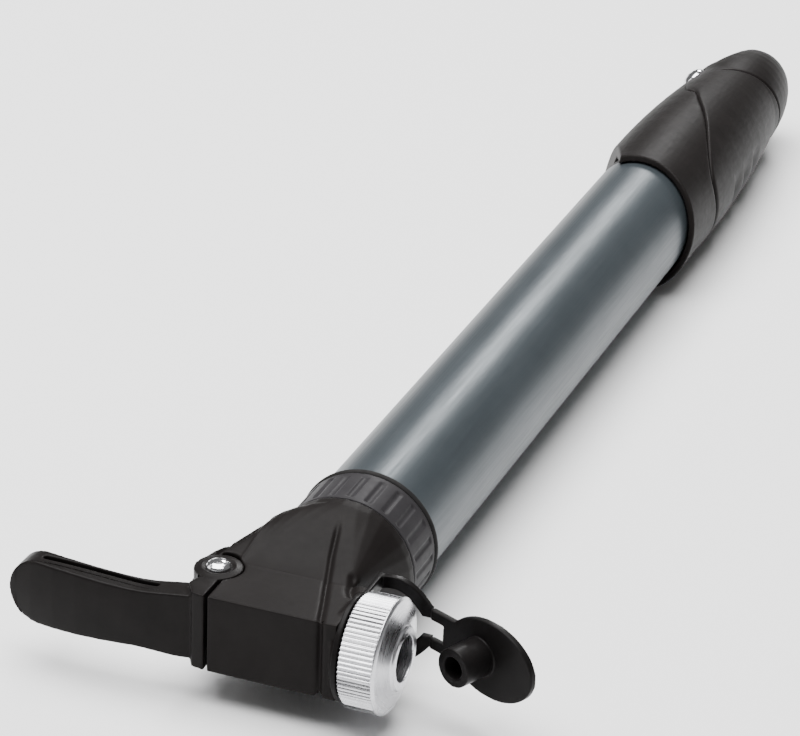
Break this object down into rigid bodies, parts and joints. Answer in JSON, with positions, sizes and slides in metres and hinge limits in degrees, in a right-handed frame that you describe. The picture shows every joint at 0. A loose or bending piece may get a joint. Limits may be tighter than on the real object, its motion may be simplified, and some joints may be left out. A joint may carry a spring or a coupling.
{
  "type": "mini bicycle pump",
  "caption": "Hand-held mini bicycle pump with a lever-locked chuck, a knurled nut, a tethered dust cap, an aluminium barrel and a handle that folds into a T.",
  "frame": {"origin": "centre of the valve port's mouth in the chuck nut", "axes": "+Y along the barrel from the head to the handle, +X out of the valve port, +Z along the lever's rivet"},
  "size_m": [0.097, 0.3086, 0.0291],
  "materials": {
    "anodised_barrel": "satin anodised",
    "black_plastic": "fine grained moulding",
    "grey_plastic": "matt moulding",
    "black_rubber": "matt",
    "bright_aluminium": "machined",
    "steel": "polished",
    "white_plastic": "turned acetal",
    "bronze": "sintered"
  },
  "bodies": {
    "pump_body": {"barrel": "anodised_barrel", "barrel_seal": "black_rubber", "head_body": "black_plastic", "check_valve_seat": "bronze", "check_valve": "black_rubber", "valve_core_insert": "white_plastic", "valve_grommet": "black_rubber", "lever_rivet": "steel", "rod_guide": "black_plastic", "rod_bush": "bronze"},
    "collar": {"locking_collar": "grey_plastic"},
    "lever": {"lever": "black_plastic"},
    "pusher": {"cam_pusher": "white_plastic"},
    "nut": {"chuck_nut": "bright_aluminium"},
    "strap": {"dust_cap_strap": "black_rubber"},
    "cap": {"dust_cap": "black_rubber"},
    "plunger": {"piston": "white_plastic", "piston_o_ring": "black_rubber", "piston_screw": "steel", "piston_rod": "steel", "stroke_bumper": "black_rubber", "handle_bumper": "black_rubber", "handle_base": "black_plastic", "handle_cross_pin": "steel"},
    "t_bar": {"t_handle": "black_plastic", "handle_pin": "steel"}
  },
  "joints": [
    {"name": "pump_stroke", "type": "slide", "parent": "pump_body", "child": "plunger", "axis": [0, 1, 0], "range_m": [0, 0.118]},
    {"name": "t_bar_fold", "type": "hinge", "parent": "plunger", "child": "t_bar", "pos_m": [-0.02205, 0.2695, 0], "axis": [-0.7986, 0, 0.6018], "range_deg": [0, 90]},
    {"name": "lever_fold", "type": "hinge", "parent": "pump_body", "child": "lever", "pos_m": [-0.03715, 0.0042, 0], "axis": [0, 0, 1], "range_deg": [-90, 0]},
    {"name": "pusher_slide", "type": "slide", "parent": "pump_body", "child": "pusher", "axis": [1, 0, 0], "range_m": [-0.0022, 0]},
    {"name": "nut_turn", "type": "hinge", "parent": "pump_body", "child": "nut", "pos_m": [-0.005, 0, 0], "axis": [1, 0, 0], "range_deg": [0, 360]},
    {"name": "collar_turn", "type": "hinge", "parent": "pump_body", "child": "collar", "pos_m": [-0.02205, 0.0325, 0], "axis": [0, 1, 0], "range_deg": [-180, 180]},
    {"name": "strap_turn", "type": "hinge", "parent": "pump_body", "child": "strap", "pos_m": [-0.01, 0, 0], "axis": [1, 0, 0], "continuous": true},
    {"name": "cap_swing", "type": "hinge", "parent": "strap", "child": "cap", "pos_m": [0.0009, 0.0118, 0], "axis": [0, 0, 1], "range_deg": [-22, 60]}
  ],
  "couplings": [
    {"joint": "pusher_slide", "follows": "lever_fold", "m_per_rad": 0.0014}
  ]
}
